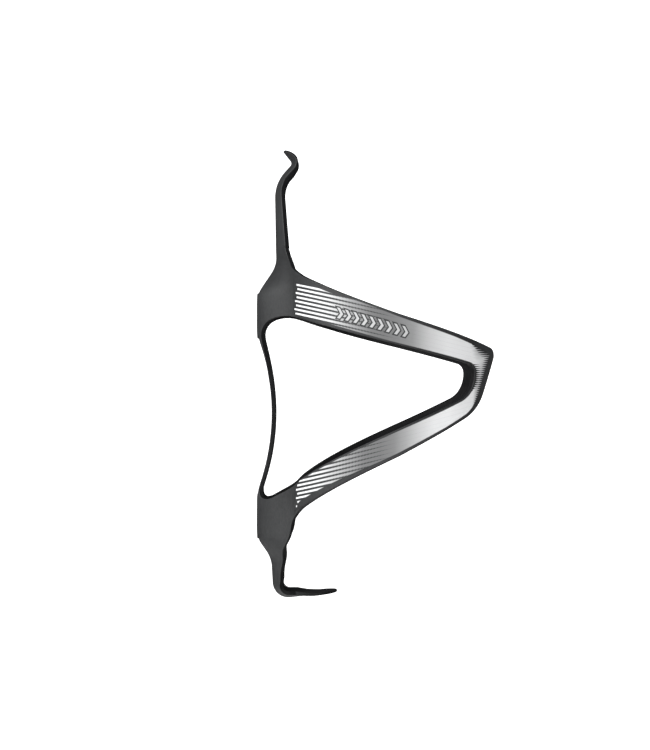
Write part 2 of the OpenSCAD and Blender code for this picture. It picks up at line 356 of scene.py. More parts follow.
# how far the bends are softened along the spine, for the depth and for the camber
SOFTEN, SOFTEN_CAMBER = 2.4, 1.2
rail_bow = 0.58 * standoff
neck_x = standoff - WALL - 0.6
low_neck_x = neck_x - 1.65
tab_z = pad_top + 14.5
foot_top_z = -pad_top - 13.2
foot_z = -bolt_z - 26.7


def depth_sharp(z):
    """Depth of the back before its bends are softened, from the neck at the top to the foot."""
    rail = 1 - ((z - RAIL_MID) / pad_low) ** 2
    stretches = [
        (z > pad_top + RAMP, neck_x - 0.027 * (z - pad_top - RAMP)),
        (z > pad_top, mix(PAD_PROUD, neck_x, (z - pad_top) / RAMP)),
        (z > RAIL_MID + pad_low, PAD_PROUD),
        (z > RAIL_MID - pad_low, PAD_PROUD + (rail_bow - PAD_PROUD) * rail),
        (z > -pad_top, PAD_PROUD),
        (z > -pad_top - LOW_RAMP, mix(PAD_PROUD, low_neck_x, (-pad_top - z) / LOW_RAMP)),
    ]
    lowest = low_neck_x + 0.06 * (-pad_top - LOW_RAMP - z)
    return np.select([test for test, _ in stretches], [value for _, value in stretches], lowest)


softening = np.linspace(-1, 1, 17)


def depth(z):
    return np.mean([depth_sharp(np.asarray(z, float) + d * SOFTEN) for d in softening], axis=0)


for z in (tab_z, bolt_z, 0.0, -bolt_z, foot_top_z):
    print("height", round(z, 1), "back of the spine at", round(float(depth(z)), 2))

# %% [markdown]
# ## Across the spine
#
# Across, the neck is curved like a shallow gutter, which makes a thin sheet stiff; the pads are
# flat because they lie on the tube. Beyond the pads the back goes over to the hoop, so that a wing
# can start from it with no kink.

# %% The back as a height field
camber_at = [
    (foot_top_z, FOOT_CAMBER), (-pad_top - LOW_RAMP, FOOT_CAMBER), (-pad_top, 0), (-pad_low, 0),
    (-pad_low / 2, RAIL_CAMBER), (pad_low / 2, RAIL_CAMBER), (pad_low, 0), (pad_top, 0),
    (pad_top + RAMP, NECK_CAMBER), (tab_z, NECK_CAMBER),
]
camber_z, camber_q = zip(*camber_at)
# the back has gone over to the hoop this far from the middle
DISH_Y = 20.0


def camber(z):
    z = np.asarray(z, float)
    return np.mean([np.interp(z + d * SOFTEN_CAMBER, camber_z, camber_q) for d in softening], axis=0)


def hoop(y):
    return axis_x - np.sqrt(shell_r**2 - np.asarray(y, float) ** 2)


def back_x(y, z):
    over = ease(PAD_W / 2 + 0.3, DISH_Y, np.abs(y))
    return mix(depth(z) + camber(z) * y * y, hoop(y), over)


def back_normal(y, z, d=0.15):
    sideways = back_x(y - d, z) - back_x(y + d, z)
    upwards = back_x(y, z - d) - back_x(y, z + d)
    return unit(np.stack([2 * d + 0 * y, sideways, upwards], -1))


print("back of the spine at the wing root", round(float(back_x(root_y, bolt_z)), 2), "mm")

# %% [markdown]
# ## The spine's outline
#
# Half the outline runs from the cut under the top tab, out to the wing root, in round the window's
# upper corner, down the rail, out round the window's lower corner to the lower wing root, and in
# again to the foot. The fourth number of a corner is where on the middle line its row starts,
# chosen so that neighbouring rows never cross.

# %% Outline of half the spine
# half the width of the rail and of the foot
RAIL_HALF, FOOT_HALF = 6.0, 9.3
window_top, window_low = pad_low + 6, -pad_low + 6
ROOT_TOP, ROOT_UNDER = pad_top + 4.85, window_top - 0.1
LOW_OVER, LOW_UNDER = window_low - 0.5, -pad_low - 3.8
spine_side = [
    (9.75, tab_z, 0, tab_z),
    (11.6, pad_top + 10.8, 9, pad_top + 9.8),
    (root_y, ROOT_TOP, 0, pad_top + 4),
    (root_y, ROOT_UNDER, 0, pad_top - 0.6),
    (RAIL_HALF + 4.4, window_top + 2.3, 8, pad_top - 3),
    (RAIL_HALF, pad_low / 3, 0, pad_low / 3),
    (RAIL_HALF, -pad_low / 3, 0, -pad_low / 3),
    (RAIL_HALF + 1, -pad_low + 1.9, 0, -pad_low),
    (RAIL_HALF + 4.6, -pad_low - 2.7, 3.6, -pad_top + 2.6),
    (root_y, LOW_OVER, 0, -pad_top + 1),
    (root_y, LOW_UNDER, 0, -pad_top - 0.7),
    (18.9, -pad_low - 7, 6, -pad_top - 2),
    (17.8, -pad_low - 14.4, 10, -pad_top - 4.6),
    (FOOT_HALF + 0.3, -pad_top - 9, 10, -pad_top - 9),
    (FOOT_HALF, foot_top_z, 0, foot_top_z),
]
# the two lines along the wing roots are cuts and stay where they are
WING_ROOTS = (2, 9)
side_in = drawn_in(spine_side, EDGE, cuts=WING_ROOTS)
side, side_full = outline(side_in), outline(spine_side)
print("half the spine has", len(spine_side), "corners and is", max(c[0] for c in spine_side), "mm wide")

# %% [markdown]
# ## The rows of the spine
#
# A flat outline could be filled with triangles, but long thin triangles shade badly on a curved
# face. Rows of equal count from edge to edge give even four-sided faces.

# %% Rows from the middle line to the outline
middle_t = [0] + [2 * k - 0.5 for k in range(1, len(spine_side) - 1)] + [2 * len(spine_side) - 3]
middle_z = [c[3] for c in spine_side]
across = np.linspace(-1, 1, 61)


def mount_row(t, line):
    yb, zb = at(line, t)
    zc = np.interp(t, middle_t, middle_z)
    y, z = yb * across, mix(zc, zb, np.abs(across))
    return np.stack([back_x(y, z), y, z], -1), back_normal(y, z)


spine_t = stations(side_in, 12, 12)
mount_rows = [mount_row(t, side) for t in spine_t]
mount_full = [mount_row(t, side_full) for t in spine_t]
print(len(spine_t), "rows down the spine, each of", len(across), "points")

# %% [markdown]
# ## Top tab and foot
#
# Above the cut and below the lower neck the sheet is a plain strip that follows a bent line. A
# Curve modifier could bend it, but could not give it its camber and its round tip. Here a row of
# points is laid across the bent line at each step, and towards a tip the ends of the rows lag
# behind the middle.

# %% Strips along a bent line
def route(corners):
    """Rows of (distance along, x, z) for a bent line."""
    line = outline(corners, 24)
    p = line[:, 1:]
    s = np.concatenate([[0], np.cumsum(np.linalg.norm(np.diff(p, axis=0), axis=1))])
    return np.column_stack([s, p])


# the reach to each side over which the strip's direction is measured
LOOK = 0.35


def strip_row(line, w, half, q, lag, end_bow, side_sign):
    """A row across the line at distance w: half its width, its camber q, how far its ends lag (0 to 1
    of end_bow), and on which side the bottle is."""
    ends = np.sin(across * np.pi / 2) if lag > 0.93 else across
    y = half * ends
    shape = mix(ends**2, 1 - np.sqrt(np.maximum(1 - ends**2, 0)), lag**30)
    v = w - lag * end_bow * shape
    x1, z1 = at(line, v + LOOK)
    x0, z0 = at(line, v - LOOK)
    t = unit(np.stack([x1 - x0, z1 - z0], -1))
    inward = side_sign * np.stack([t[:, 1], -t[:, 0]], -1)
    x, z = at(line, v)
    p = np.stack([x + q * y * y * inward[:, 0], y, z + q * y * y * inward[:, 1]], -1)
    n = unit(np.stack([inward[:, 0], -2 * q * y, inward[:, 1]], -1))
    return p, n


def lag_near(left, bow):
    """How far the ends lag when this much of the strip is left."""
    return float(np.clip(1 - left / (2 * bow), 0, 1))


print("the ends begin to lag two bows before a tip:", lag_near(10, 5), "to", lag_near(0, 5))

# %% [markdown]
# ## The top tab's strip
#
# The tab leans back, swings forward to its snap and flicks back again at the tip, which lets the
# bottle's groove ride over it. Its bends are rounded corners of one line.

# %% Rows of the top tab
TAB_HALF, TAB_BOW, SNAP_DEPTH = 7.5, 4.6, 5.0
# the bottle's groove is this far above the foot
GROOVE_HEIGHT = 137
snap_z = foot_z + WALL + 1.3 + GROOVE_HEIGHT
snap_x = standoff + SNAP_DEPTH - WALL - 0.15
tab_route = route([
    (float(depth(tab_z)), tab_z, 0),
    (neck_x - 0.5, snap_z - 6.4, 12),
    (snap_x - 0.3, snap_z - 0.1, 1.2),
    (snap_x - 3.3, snap_z + 3.7, 0),
])
tab_len = tab_route[-1, 0]
tab_share = np.concatenate([np.linspace(0, 0.6, 30)[:-1], np.linspace(0.6, 1, 50)])


def tab_row(share, edge):
    length, bow = tab_len - edge, TAB_BOW - edge
    w = share * length
    along = float(np.clip(w / (length - 10), 0, 1))
    half = mix(float(at(side if edge else side_full, 0)[0]), TAB_HALF - edge, along)
    camber_here = mix(NECK_CAMBER, 0.031, along)
    return strip_row(tab_route, w, half, camber_here, lag_near(length - w, bow), bow, 1)


tab_rows = [tab_row(share, EDGE) for share in tab_share]
tab_full = [tab_row(share, 0) for share in tab_share]
print("the tab is", round(tab_len, 1), "mm along its bend")

# %% [markdown]
# ## The foot's strip
#
# The foot bends under the bottle and narrows a little towards its round tip. It is the same kind of
# strip with the bottle on its other side, and its camber runs out into a flat tongue.

# %% Rows of the foot
FOOT_BEND, FOOT_BOW, FOOT_NARROWS = 5.0, 6.5, 1.3
FOOT_REACH = float(spine_hi[0])
foot_route = route([
    (float(depth(foot_top_z)), foot_top_z, 0),
    (float(depth(foot_top_z)) + 0.3, foot_z, FOOT_BEND),
    (FOOT_REACH, foot_z + 2.4, 0),
])
foot_len = foot_route[-1, 0]
foot_share = np.linspace(0, 1, 84)[1:]


def foot_row(share, edge):
    length, bow = foot_len - edge, FOOT_BOW - edge
    w = share * length
    half = FOOT_HALF - edge - FOOT_NARROWS * float(np.clip(1 - (length - w) / 12, 0, 1))
    camber_here = FOOT_CAMBER * (1 - share) ** 1.4
    return strip_row(foot_route, w, half, camber_here, lag_near(length - w, bow), bow, -1)


foot_rows = [foot_row(share, EDGE) for share in foot_share]
foot_full = [foot_row(share, 0) for share in foot_share]
print("the foot is", round(foot_len, 1), "mm along its bend")

# %% [markdown]
# ## The wings on the unrolled hoop
#
# A wing is a piece of a cylinder, so its outline is drawn on the flat, unrolled cylinder: angle
# round the bottle and height. Cutting the window out with a Boolean would leave ragged faces along
# it; here the sheet's rows simply run from the outer outline to the window's.

# %% Outlines of a wing
MM_PER_DEGREE = shell_r * math.pi / 180
# heights of the front corner and of the chin below it
FRONT_Z, CHIN_Z = 20.8, 2.3
# how far the window's front lies behind the front corner, and how far its corners lie below it
WINDOW_BACK, WINDOW_DOWN, WINDOW_LOW = 14.8, 4.7, 13
mid_angle = (root_angle + front_angle) / 2


def unrolled(corners):
    return [(a * MM_PER_DEGREE, z, r) for a, z, r in corners]


wing_outer = unrolled([
    (root_angle, ROOT_TOP, 0),
    (root_angle + 11, ROOT_TOP - 2.4, 25),
    (mid_angle, mix(ROOT_TOP - 2.4, FRONT_Z, 0.44) - 0.55, 0),
    (front_angle, FRONT_Z, 2.4),
    (front_angle - 12.6, CHIN_Z, 16),
    (mid_angle, mix(LOW_UNDER, CHIN_Z, 0.565) - 0.85, 0),
    (root_angle, LOW_UNDER, 0),
])
wing_window = unrolled([
    (root_angle, ROOT_UNDER, 0),
    (root_angle + 17.5, ROOT_UNDER - 2.5, 40),
    (mid_angle, mix(ROOT_UNDER - 2.5, FRONT_Z - WINDOW_DOWN, 0.48), 0),
    (front_angle - WINDOW_BACK, FRONT_Z - WINDOW_DOWN, 3.2),
    (front_angle - WINDOW_BACK, FRONT_Z - WINDOW_LOW, 9),
    (mid_angle, mix(LOW_OVER, FRONT_Z - WINDOW_LOW, 0.578) + 0.2, 0),
    (root_angle, LOW_OVER, 0),
])
outer_full, window_full = outline(wing_outer), outline(wing_window)
outer_in = outline(drawn_in(wing_outer, EDGE, ends="a"))
window_in = outline(drawn_in(wing_window, -EDGE, ends="a"))
print("a wing is", round((front_angle - root_angle) * MM_PER_DEGREE, 1), "mm long when it is unrolled")

# %% [markdown]
# ## The wing's grid
#
# The rows stand close together in the rounded corners and further apart along the arms, which keeps
# the faces few where nothing turns. The wall grows a little towards the front, where the wing
# grips.

# %% Rows of a wing, and the way back onto the cylinder
# stretches of stations: first, last, how many rows; the two sharp corners take one row each
spans = [
    (0, 1, 9), (1, 2, 9), (2, 3, 20), (3.5, 3.5, 1), (4, 5, 20), (5, 6, 15),
    (6, 7, 9), (7, 8, 15), (8, 9, 20), (9.5, 9.5, 1), (10, 11, 26),
]
wing_t = np.unique(np.concatenate([np.linspace(*span) for span in spans]))
wing_t = wing_t[~np.isin(wing_t, (3, 4, 9, 10))]
wing_v = np.linspace(0, 1, 33)


def flat_grid(t, v, outer, window):
    (a0, b0), (a1, b1) = at(outer, t), at(window, t)
    return mix(a0[:, None], a1[:, None], v[None, :]), mix(b0[:, None], b1[:, None], v[None, :])


def wing_wall(s):
    return WALL + FRONT_GAIN * ease(root_angle, front_angle, s / MM_PER_DEGREE)


def on_hoop(s, z, radius):
    a = np.radians(s / MM_PER_DEGREE)
    return np.stack([axis_x - radius * np.cos(a), radius * np.sin(a), z + 0 * a], -1)


def inwards(s):
    a = np.radians(s / MM_PER_DEGREE)
    return np.stack([np.cos(a), -np.sin(a), 0 * a], -1)


def mirrored(grid, hand):
    return grid * np.array([1, hand, 1])


print(len(wing_t), "rows in a wing, each of", len(wing_v), "points")

# %% [markdown]
# ## The print's layout
#
# The print on each wing is silver ink that starts at the spine as thin stripes, thickens until they
# close up, and runs on as plain silver round the front, where it breaks up into fine streaks. A
# picture file would be the usual way to lay it out, but turns soft when the camera comes close.
# What changes slowly, such as how closed the stripes are, is worked out here for every point of the
# film; the fine stripes themselves are left to the material.

# %% Tables of the print along each arm
STRIPE_PITCH = 1.29
# the height that parts the upper arm from the lower one
ARM_SPLIT_Z = 12
# margins in mm against x: the charcoal left bare along the outer outline and along the window
UPPER_MARGIN = ([13, 24, 30, 37, 44, 52, 62, 68, 71.5], [1.5, 1.3, 0.6, 0.6, 0.9, 1.15, 1.3, 1.6, 2.2])
LOWER_MARGIN = ([14, 20, 30, 38, 60, 66, 71.5], [2.3, 2.0, 1.5, 1.15, 1.0, 1.2, 2.2])
UPPER_WINDOW_MARGIN = ([28, 35, 44], [1.0, 0.75, 0.55])
LOWER_WINDOW_MARGIN = 0.6
# the stripes' share of their pitch against x; above 1 the ink is closed
UPPER_CLOSED = ([13, 23, 30, 37, 44], [0.4, 0.52, 0.66, 0.8, 1.05])
LOWER_CLOSED = ([14, 22, 29, 36, 43], [0.42, 0.5, 0.62, 0.78, 1.05])
# the ink's brightness against x, silver at both ends and smoky in the middle of the arm: partly the
# print's own tone, partly a painted reflection of the light along the arm
UPPER_TONE_AND_SHEEN = (
    [13, 20, 25, 30, 36, 40, 44, 49, 54, 60, 68],
    [0.8, 0.68, 0.46, 0.26, 0.125, 0.115, 0.14, 0.22, 0.48, 0.74, 0.84],
)
LOWER_TONE_AND_SHEEN = (
    [13, 19, 24, 29, 34, 39, 43, 47, 51, 56, 60],
    [0.8, 0.66, 0.42, 0.25, 0.125, 0.12, 0.16, 0.3, 0.5, 0.74, 0.84],
)
print("ink brightness from", min(UPPER_TONE_AND_SHEEN[1]), "to", max(UPPER_TONE_AND_SHEEN[1]))

# %% [markdown]
# ## Numbers for every point of the film
#
# The tables are read at each point's own x, and the distance to the two outlines is measured on the
# unrolled wing. The stripes slope a little, so a sloping height divided by their pitch is a count
# that grows by one per stripe; the material only has to cut it into bands.

# %% Numbers for every point of the film
def far_from(s, z, line):
    """Distance in the flat from each point to a line of many short pieces."""
    p = np.stack([s.ravel(), z.ravel()], -1)
    a, b = line[:-1, 1:], line[1:, 1:]
    d = b - a
    keep = np.sum(d * d, 1) > 1e-12
    a, d = a[keep], d[keep]
    u = np.clip(np.sum((p[:, None] - a) * d, 2) / np.sum(d * d, 1), 0, 1)
    return np.min(np.linalg.norm(p[:, None] - a - u[..., None] * d, axis=2), axis=1).reshape(s.shape)


def ink_numbers(s, z, x):
    upper = z > ARM_SPLIT_Z
    to_outer = far_from(s, z, outer_full)
    outer_margin = np.where(upper, np.interp(x, *UPPER_MARGIN), np.interp(x, *LOWER_MARGIN))
    window_margin = np.where(upper, np.interp(x, *UPPER_WINDOW_MARGIN), LOWER_WINDOW_MARGIN)
    inside = np.minimum(to_outer - outer_margin, far_from(s, z, window_full) - window_margin)
    closed = np.where(upper, np.interp(x, *UPPER_CLOSED), np.interp(x, *LOWER_CLOSED))
    # the ink's brightness here is partly its own tone and partly a painted reflection of the light
    ink_tone_and_sheen = np.where(upper, np.interp(x, *UPPER_TONE_AND_SHEEN), np.interp(x, *LOWER_TONE_AND_SHEEN))
    # the ink darkens towards the black front, and only there
    ink_tone_and_sheen = ink_tone_and_sheen * mix(0.5, 1, ease(2, 7, to_outer + 9 * (1 - ease(66, 69, x))))
    sloping = np.where(upper, z - 41.35 + 0.238 * (x - 12.9), z + 25.4 - 0.26 * (x - 13))
    count = sloping / STRIPE_PITCH + 0.5
    # how deep the streaks bite into the ink, in mm
    streaks = 3.4 * ease(67, 70.5, x) * ease(1, 7, z)
    ink_mm = np.stack([inside, closed, ink_tone_and_sheen], -1)
    return ink_mm, np.stack([count, streaks, np.where(upper, 1.0, 0.0)], -1)


print("the stripes have closed up from x", UPPER_CLOSED[0][-1], "mm on")

# %% [markdown]
# ## Finishes
#
# The moulding has a satin charcoal skin from the mould: dark resin with the cloth's grain just
# showing through it. Noise nodes make it, read at the piece's own rest position, so that it stays
# put when a wing flexes. Building a tree by hand takes four lines a node, so small helpers make a
# node, set or link its inputs and hand back its output.

# %% Helpers for node trees
def new_finish(name):
    finish = bpy.data.materials.new(name)
    finish.use_nodes = True
    tree = finish.node_tree
    return finish, tree, tree.nodes["Principled BSDF"]


def wire(tree, source, target):
    tree.links.new(source, target)


def put(tree, value, socket):
    """Set a plain number or colour, or link a node's output."""
    if isinstance(value, (int, float)):
        socket.default_value = value
    elif isinstance(value, tuple):
        socket.default_value = (*value, 1)
    else:
        wire(tree, value, socket)


def calc(tree, op, a, b=0.0, c=None, clamp=False):
    node = tree.nodes.new("ShaderNodeMath")
    node.operation = op
    node.use_clamp = clamp
    put(tree, a, node.inputs[0])
    if len(node.inputs) > 1:
        put(tree, b, node.inputs[1])
    if c is not None:
        put(tree, c, node.inputs[2])
    return node.outputs[0]


def times(tree, a, b):
    return calc(tree, "MULTIPLY", a, b)


def minus(tree, a, b):
    return calc(tree, "SUBTRACT", a, b)


def numbers(tree, name):
    """The three numbers noted at every point, as one vector and apart."""
    node = tree.nodes.new("ShaderNodeAttribute")
    node.attribute_name = name
    split = tree.nodes.new("ShaderNodeSeparateXYZ")
    wire(tree, node.outputs["Vector"], split.inputs[0])
    return node.outputs["Vector"], split.outputs


def noise(tree, vector, scale=1.0, detail=2.0, rough=0.5):
    node = tree.nodes.new("ShaderNodeTexNoise")
    node.inputs["Scale"].default_value = scale
    node.inputs["Detail"].default_value = detail
    node.inputs["Roughness"].default_value = rough
    wire(tree, vector, node.inputs["Vector"])
    return node.outputs["Fac"]


def blended(tree, amount, a, b):
    node = tree.nodes.new("ShaderNodeMix")
    node.data_type = "RGBA"
    for value, socket in ((amount, "Factor"), (a, "A"), (b, "B")):
        put(tree, value, node.inputs[socket])
    return node.outputs["Result"]


def bump(tree, height, distance):
    node = tree.nodes.new("ShaderNodeBump")
    node.inputs["Distance"].default_value = distance
    node.inputs["Strength"].default_value = 1.0
    wire(tree, height, node.inputs["Height"])
    return node.outputs["Normal"]


def dress(tree, shader, colour, gloss, relief, high, shine):
    wire(tree, colour, shader.inputs["Base Color"])
    wire(tree, gloss, shader.inputs["Roughness"])
    wire(tree, bump(tree, relief, high), shader.inputs["Normal"])
    shader.inputs["Specular IOR Level"].default_value = shine


print("node helpers ready; materials so far:", len(bpy.data.materials))

# %% [markdown]
# ## Charcoal skin
#
# Two noises make the grain: one of under half a millimetre, stretched as the fibres in the cloth
# lie, and a slow one of about a centimetre for how unevenly the resin has flowed. They move the
# colour a little, the gloss rather more, and lift the surface by a hundredth of a millimetre. A
# single flat grey would look like plastic film.

# %% Charcoal skin
CHARCOAL_LOW, CHARCOAL_HIGH = (0.012, 0.0125, 0.013), (0.04, 0.041, 0.042)
# how high the grain stands, in metres, and how strongly the skin and the edge reflect
GRAIN_HIGH, SCUFF_HIGH = 0.000012, 0.000015
SKIN_SHINE, EDGE_SHINE = 0.28, 0.12
# how much finer than a millimetre the grain is in x, y and z
FIBRES = (2.2, 2.2, 0.9)


def charcoal(tree):
    rest, _ = numbers(tree, "rest_mm")
    stretch = tree.nodes.new("ShaderNodeMapping")
    stretch.inputs["Scale"].default_value = FIBRES
    wire(tree, rest, stretch.inputs["Vector"])
    grain = noise(tree, stretch.outputs["Vector"], 1.0, 3, 0.6)
    flow = noise(tree, rest, 0.09, 2, 0.5)
    mottle = calc(tree, "MULTIPLY_ADD", grain, 0.55, times(tree, flow, 0.45))
    spread = calc(tree, "MULTIPLY_ADD", mottle, 1.6, -0.3, clamp=True)
    colour = blended(tree, spread, CHARCOAL_LOW, CHARCOAL_HIGH)
    gloss = calc(tree, "MULTIPLY_ADD", mottle, 0.24, 0.4)
    return colour, gloss, grain


skin, tree, shader = new_finish("charcoal_skin")
skin_colour, skin_gloss, skin_grain = charcoal(tree)
dress(tree, shader, skin_colour, skin_gloss, skin_grain, GRAIN_HIGH, SKIN_SHINE)
print("finishes so far:", [m.name for m in bpy.data.materials])

# %% [markdown]
# ## Dark edge
#
# The rim and the inner faces are coloured near black, darker and duller than the skin: painted shade,
# as these faces turn away from the light. They could share the skin's material, but then the thin
# dark line of painted shade that the edge draws round every shape would be lost. A coarser noise
# gives them scuffs.

# %% Dark edge
# near black for the rim and the inner faces: painted shade, far darker than the skin's own colour
EDGE_SHADE_LOW, EDGE_SHADE_HIGH = (0.004, 0.004, 0.0045), (0.013, 0.0135, 0.014)
edge, tree, shader = new_finish("painted_shade_edge")
edge_rest, _ = numbers(tree, "rest_mm")
scuffs = noise(tree, edge_rest, 1.6, 4, 0.7)
slow = noise(tree, edge_rest, 0.25, 2)
wear = calc(tree, "MULTIPLY_ADD", slow, 0.5, times(tree, scuffs, 0.5))
spread = calc(tree, "MULTIPLY_ADD", wear, 2.2, -0.75, clamp=True)
edge_shade_colour = blended(tree, spread, EDGE_SHADE_LOW, EDGE_SHADE_HIGH)
edge_gloss = calc(tree, "MULTIPLY_ADD", scuffs, 0.3, 0.36)
dress(tree, shader, edge_shade_colour, edge_gloss, scuffs, SCUFF_HIGH, EDGE_SHINE)
print("finishes so far:", [m.name for m in bpy.data.materials])

# %% [markdown]
# ## Stripes of ink
#
# A stripe pattern is a sawtooth cut at a level. The sawtooth is the fraction of the stripe count
# and the level is the closed share, so the stripes widen by themselves along the arm. Every second
# stripe starts a little later, and a fast wave along x breaks the gaps into dots before they close.

# %% Stripes
DOT_PITCH, STAGGER = 0.45, 0.4


def soft_step(tree, value, width):
    """0 to 1 over that width, half way where the value is zero."""
    return calc(tree, "MULTIPLY_ADD", value, 1 / width, 0.5, clamp=True)


def from_middle(tree, value):
    """How far a growing number is from the middle of its whole step, 0 to a half."""
    return calc(tree, "ABSOLUTE", minus(tree, calc(tree, "FRACT", value), 0.5))


def stripes(tree, count, closed, x, start_x, lean, last):
    """Ink bands that start at start_x, each one by lean further than the one below it. No band is
    drawn from the count last on."""
    whole = calc(tree, "FLOOR", count)
    off = from_middle(tree, count)
    gap = calc(tree, "SUBTRACT", 1.0, closed, clamp=True)
    wave = calc(tree, "SINE", times(tree, x, 2 * math.pi / DOT_PITCH))
    dots = times(tree, wave, calc(tree, "MULTIPLY_ADD", x, 0.1, -2.2, clamp=True))
    level = times(tree, closed, 0.5)
    half = calc(tree, "MULTIPLY_ADD", times(tree, gap, 0.42), dots, level)
    band_mm = times(tree, minus(tree, half, off), STRIPE_PITCH)
    band = soft_step(tree, band_mm, 0.14)
    odd = calc(tree, "ABSOLUTE", calc(tree, "MODULO", whole, 2))
    start = calc(tree, "MULTIPLY_ADD", odd, STAGGER, calc(tree, "MULTIPLY_ADD", whole, lean, start_x))
    band = times(tree, band, soft_step(tree, minus(tree, x, start), 0.16))
    return times(tree, band, calc(tree, "LESS_THAN", count, last)) if last else band


print("stripes every", STRIPE_PITCH, "mm with dots every", DOT_PITCH, "mm")

# %% [markdown]
# ## A row of arrowheads
#
# The upper arm carries a plain decoration along its middle: a row of outlined arrowheads. They
# could be small meshes laid on the film, but ink has no thickness to speak of, so they are a mask
# too. A band that is pushed along by its distance from the row's axis is an arrowhead, and a
# fraction repeats it.

# %% Arrowheads
HEAD_COUNT, HEAD_PITCH, HEAD_TALL = 9, 2.5, 3.3
# half the width of an arrowhead's stroke, how far its point leads, and the dark outline round it
HEAD_HALF, HEAD_POINT, HEAD_OUTLINE = 0.45, 0.62, 0.42
# where the row starts, and how fast it falls along the arm
HEAD_START, HEAD_FALL = (25.9, 32.3), 0.286


def arrowheads(tree, x, z):
    """Two masks: the light inside of the arrowheads, and the same with the dark outline round it."""
    past = minus(tree, x, HEAD_START[0])
    above = minus(tree, z, HEAD_START[1])
    up = calc(tree, "ABSOLUTE", calc(tree, "MULTIPLY_ADD", past, HEAD_FALL, above))
    along = calc(tree, "DIVIDE", past, HEAD_PITCH)
    bent = calc(tree, "MULTIPLY_ADD", up, HEAD_POINT / HEAD_PITCH, along)
    off = times(tree, from_middle(tree, bent), HEAD_PITCH)
    begun, ended = calc(tree, "GREATER_THAN", bent, 0.0), calc(tree, "LESS_THAN", bent, HEAD_COUNT)
    in_row = times(tree, begun, ended)
    masks = []
    for grow in (0.0, HEAD_OUTLINE):
        wide = soft_step(tree, minus(tree, HEAD_HALF + grow, off), 0.12)
        tall = soft_step(tree, minus(tree, HEAD_TALL / 2 + grow, up), 0.12)
        masks.append(times(tree, times(tree, wide, tall), in_row))
    return masks


print(HEAD_COUNT, "arrowheads over", HEAD_COUNT * HEAD_PITCH, "mm")

# %% [markdown]
# ## Silver print
#
# The print is the same charcoal with silver ink over it wherever its mask says so: inside its
# margins, on the stripes, and not under an arrowhead's outline. At the front a sawtooth along the
# height bites streaks out of it. The ink is a light grey and not a metal, as printed silver
# scatters light in all directions. Its brightness along the arm is partly the print's own tone and
# partly a painted reflection of the light.

# %% Silver print
INK_DARK, INK_LIGHT = (0.02, 0.0205, 0.021), (0.98, 0.985, 0.99)
HEAD_BRIGHT, STREAK_PITCH = 0.42, 0.62
silver, tree, shader = new_finish("silver_print")
base_colour, base_gloss, base_grain = charcoal(tree)
rest, (rx, ry, rz) = numbers(tree, "rest_mm")
_, (inside, closed, ink_tone_and_sheen) = numbers(tree, "ink_mm")
_, (count, streaks, upper) = numbers(tree, "stripe_count")
ragged = noise(tree, rest, 0.9, 2)
saw = calc(tree, "PINGPONG", calc(tree, "MULTIPLY_ADD", ragged, 0.25, rz), STREAK_PITCH / 2)
bite = times(tree, streaks, times(tree, saw, 2.2))
area = soft_step(tree, minus(tree, inside, bite), 0.16)
upper_lines = stripes(tree, count, closed, rx, 12.95, 0.1, 1.0)
lower_lines = stripes(tree, count, closed, rx, 12.85, 0.0, None)
pick = tree.nodes.new("ShaderNodeMix")
wire(tree, upper, pick.inputs["Factor"])
wire(tree, lower_lines, pick.inputs["A"])
wire(tree, upper_lines, pick.inputs["B"])
ink = times(tree, area, pick.outputs["Result"])
light_heads, dark_heads = arrowheads(tree, rx, rz)
ink = times(tree, ink, minus(tree, 1.0, dark_heads))
ink = calc(tree, "MAXIMUM", ink, light_heads)
# the ink's brightness along the arm carries a painted reflection: lighter where the silver caught the
# light
shine = calc(tree, "MAXIMUM", ink_tone_and_sheen, times(tree, light_heads, HEAD_BRIGHT))
ink_colour = blended(tree, shine, INK_DARK, INK_LIGHT)
print_colour = blended(tree, ink, base_colour, ink_colour)
print_gloss = calc(tree, "MULTIPLY_ADD", ink, 0.06, base_gloss)
raised = calc(tree, "MULTIPLY_ADD", ink, 0.8, base_grain)
dress(tree, shader, print_colour, print_gloss, raised, GRAIN_HIGH, SKIN_SHINE)
print("the silver print takes", len(tree.nodes), "nodes")

# %% [markdown]
# ## Spine
#
# The spine is what is bolted to the bike: one sheet from under the top tab to the tip of the foot,
# thinner towards that tip. The foot could be a piece of its own, but the two never move apart, and
# one sheet has no line between them. It is left open at the bolt slots, where the pads close it.

# %% Spine
FOOT_THINS = 0.45


def stacked(rows, k):
    return np.array([row[k] for row in rows])


def across_all(wall):
    return np.repeat(wall[:, None], len(across), 1)


def in_slot(p, reach=0.35):
    y, z = abs(p[1]), abs(abs(p[2]) - bolt_z)
    return math.hypot(y, max(z - (slot_l - slot_w) / 2, 0)) < slot_w / 2 + reach


spine_rows, spine_full = mount_rows + foot_rows, mount_full + foot_full
foot_wall = WALL - FOOT_THINS * np.clip(2 * foot_share - 1, 0, 1)
spine_skin = sheet(
    "spine_skin",
    stacked(spine_rows, 0),
    stacked(spine_full, 0),
    stacked(spine_rows, 1),
    across_all(np.concatenate([np.full(len(mount_rows), WALL), foot_wall])),
    (skin, edge),
    skip=in_slot,
)
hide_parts("spine")
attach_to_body(spine_skin, "spine")

# %% [markdown]
# ## Bolt pads
#
# A pad is the thicker ring round a bolt slot that lies on the bike's tube. A Boolean and a Bevel
# modifier could make it. Here it is made of loops of one shape, a rectangle with round ends, laid
# one after the other round the ring's section. The quarter circles at the section's corners are the
# bevels.

# %% Bolt pads
PAD_ROUND = 0.3
quarter = [k / 4 * math.pi / 2 for k in range(5)]


